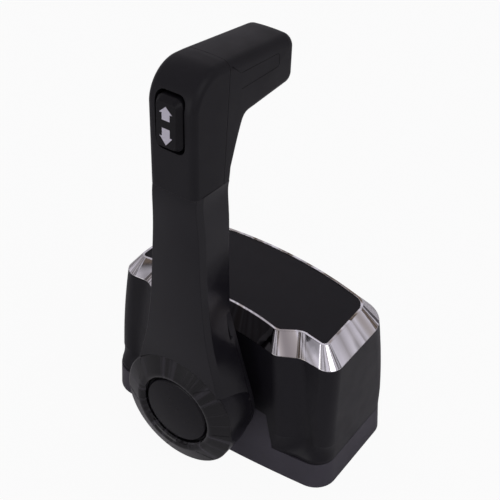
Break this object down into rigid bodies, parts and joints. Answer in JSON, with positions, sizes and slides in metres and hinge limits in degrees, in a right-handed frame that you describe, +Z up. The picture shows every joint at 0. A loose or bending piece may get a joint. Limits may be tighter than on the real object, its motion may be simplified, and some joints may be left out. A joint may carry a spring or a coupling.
{
  "type": "boat throttle control lever",
  "caption": "Top-mounted side-lever throttle and shift control for a boat, with an upright arm, a round hub, a side-pointing grip with a rocker switch and a waisted housing.",
  "frame": {"origin": "centre of the base's flat underside, which is also the centre of the four mounting holes", "axes": "+Z up from the mounting face, +Y towards the bow (ahead), +X across the housing, away from the lever's side"},
  "size_m": [0.1198, 0.1556, 0.2581],
  "materials": {
    "base_grey": "moulded dark grey, satin",
    "body_black": "moulded near-black, satin",
    "bright_metal": "polished",
    "lever_black": "gloss black coat over a die casting",
    "button_black": "gloss",
    "grip_black": "soft-touch",
    "inlay_rubber": "fine grained",
    "rocker_black": "satin, printed arrows",
    "rubber_black": "plain",
    "steel": "stainless",
    "zinc_steel": "pressed sheet, zinc plated",
    "spring_steel": "hardened",
    "bush_plastic": "natural acetal",
    "friction_rubber": "brake compound",
    "gear_plastic": "natural acetal",
    "sensor_plastic": "glass-filled nylon",
    "board_green": "glass-fibre board"
  },
  "bodies": {
    "housing": {"base": "base_grey", "base_gasket": "rubber_black", "housing_shell": "body_black", "bevel_ring": "bright_metal", "top_cover": "body_black", "cover_screws": "steel", "near_plate": "zinc_steel", "far_plate": "zinc_steel", "chassis_spacers": "zinc_steel", "stop_pins": "steel", "chassis_screws": "steel", "shaft_seal": "rubber_black", "near_bush": "bush_plastic", "far_bush": "bush_plastic", "friction_pad": "friction_rubber", "friction_bridge": "zinc_steel", "friction_screw": "steel", "detent_spring": "spring_steel", "leaf_clamp": "zinc_steel", "sensor_fore": "sensor_plastic", "sensor_aft": "sensor_plastic", "button_switch": "sensor_plastic", "switch_bracket": "zinc_steel", "circuit_board": "board_green", "board_screws": "steel", "plug_socket": "sensor_plastic"},
    "lever": {"shaft": "steel", "shaft_key": "spring_steel", "detent_plate": "spring_steel", "drive_gear": "gear_plastic", "shaft_sleeves": "steel", "shaft_circlip": "spring_steel", "arm": "lever_black", "hub_ring": "lever_black", "arm_back_cover": "body_black", "back_cover_screws": "steel", "hub_washer": "steel", "hub_nut": "steel", "head_shell": "grip_black", "head_screw": "steel", "grip": "grip_black", "grip_inlays": "inlay_rubber", "grip_screw": "steel", "trim_switch": "sensor_plastic"},
    "hub_button": {"button_cap": "button_black", "push_rod": "steel", "rod_clip": "spring_steel", "button_spring": "spring_steel"},
    "rocker": {"trim_rocker": "rocker_black", "rocker_pin": "steel"},
    "sensor_fore_pinion": {"sensor_gear_fore": "gear_plastic"},
    "sensor_aft_pinion": {"sensor_gear_aft": "gear_plastic"},
    "plunger": {"switch_plunger": "bush_plastic"}
  },
  "joints": [
    {"name": "lever_turn", "type": "hinge", "parent": "housing", "child": "lever", "pos_m": [0, 0, 0.05], "axis": [-1, 0, 0], "range_deg": [-60, 85], "deforming": ["detent_spring"]},
    {"name": "hub_press", "type": "slide", "parent": "lever", "child": "hub_button", "axis": [1, 0, 0], "range_m": [0, 0.003], "stiffness_N_per_m": 900, "springref_m": -0.001, "deforming": ["button_spring"]},
    {"name": "rocker_tilt", "type": "hinge", "parent": "lever", "child": "rocker", "pos_m": [-0.0684, 0, 0.234], "axis": [0, 1, 0], "range_deg": [-8, 8], "stiffness_Nm_per_rad": 0.5},
    {"name": "fore_pinion_turn", "type": "hinge", "parent": "housing", "child": "sensor_fore_pinion", "pos_m": [0, 0.02298, 0.07298], "axis": [-1, 0, 0], "range_deg": [-192, 136]},
    {"name": "aft_pinion_turn", "type": "hinge", "parent": "housing", "child": "sensor_aft_pinion", "pos_m": [0, -0.02298, 0.07298], "axis": [-1, 0, 0], "range_deg": [-192, 136]},
    {"name": "plunger_slide", "type": "slide", "parent": "housing", "child": "plunger", "axis": [1, 0, 0], "range_m": [0, 0.003]}
  ],
  "couplings": [
    {"joint": "fore_pinion_turn", "follows": "lever_turn", "ratio": -2.25},
    {"joint": "aft_pinion_turn", "follows": "lever_turn", "ratio": -2.25},
    {"joint": "plunger_slide", "follows": "hub_press", "ratio": 1}
  ]
}
